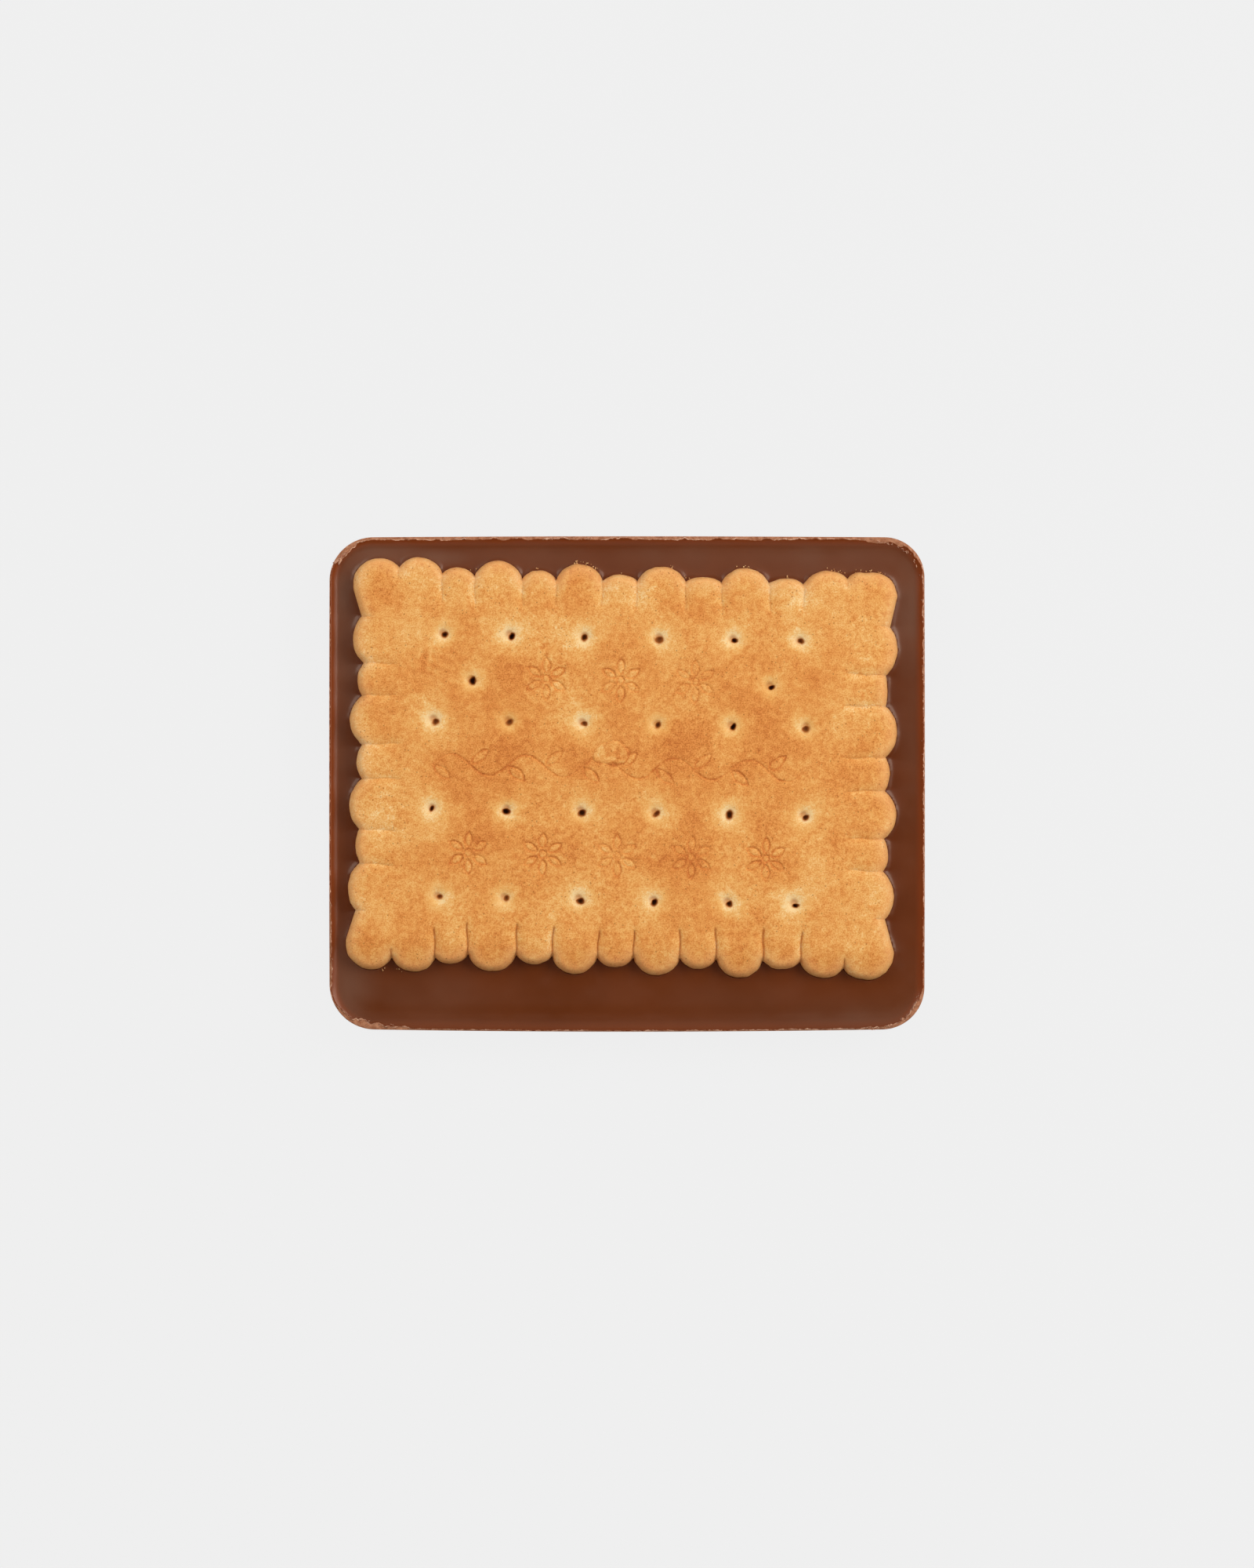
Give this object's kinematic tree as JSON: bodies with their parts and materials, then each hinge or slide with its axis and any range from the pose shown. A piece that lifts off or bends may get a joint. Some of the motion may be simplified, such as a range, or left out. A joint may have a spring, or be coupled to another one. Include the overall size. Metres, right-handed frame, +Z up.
{
  "type": "butter biscuit on milk chocolate slab",
  "caption": "Scalloped rectangular butter biscuit with docker pricks and a pressed vine, bedded in a moulded milk chocolate slab.",
  "frame": {"origin": "middle of the slab's flat underside", "axes": "+X along the long side, +Y along the short side towards the narrow chocolate border, +Z up out of the biscuit's baked face"},
  "size_m": [0.0652, 0.0542, 0.0065],
  "materials": {
    "milk_chocolate": "satin, moulded and set milk chocolate with a thin glossy lip",
    "baked_biscuit": "matt, golden baked dough, browner between the pricks and on the big scallops"
  },
  "bodies": {
    "root": {"chocolate_slab": "milk_chocolate", "biscuit": "baked_biscuit"}
  },
  "joints": []
}
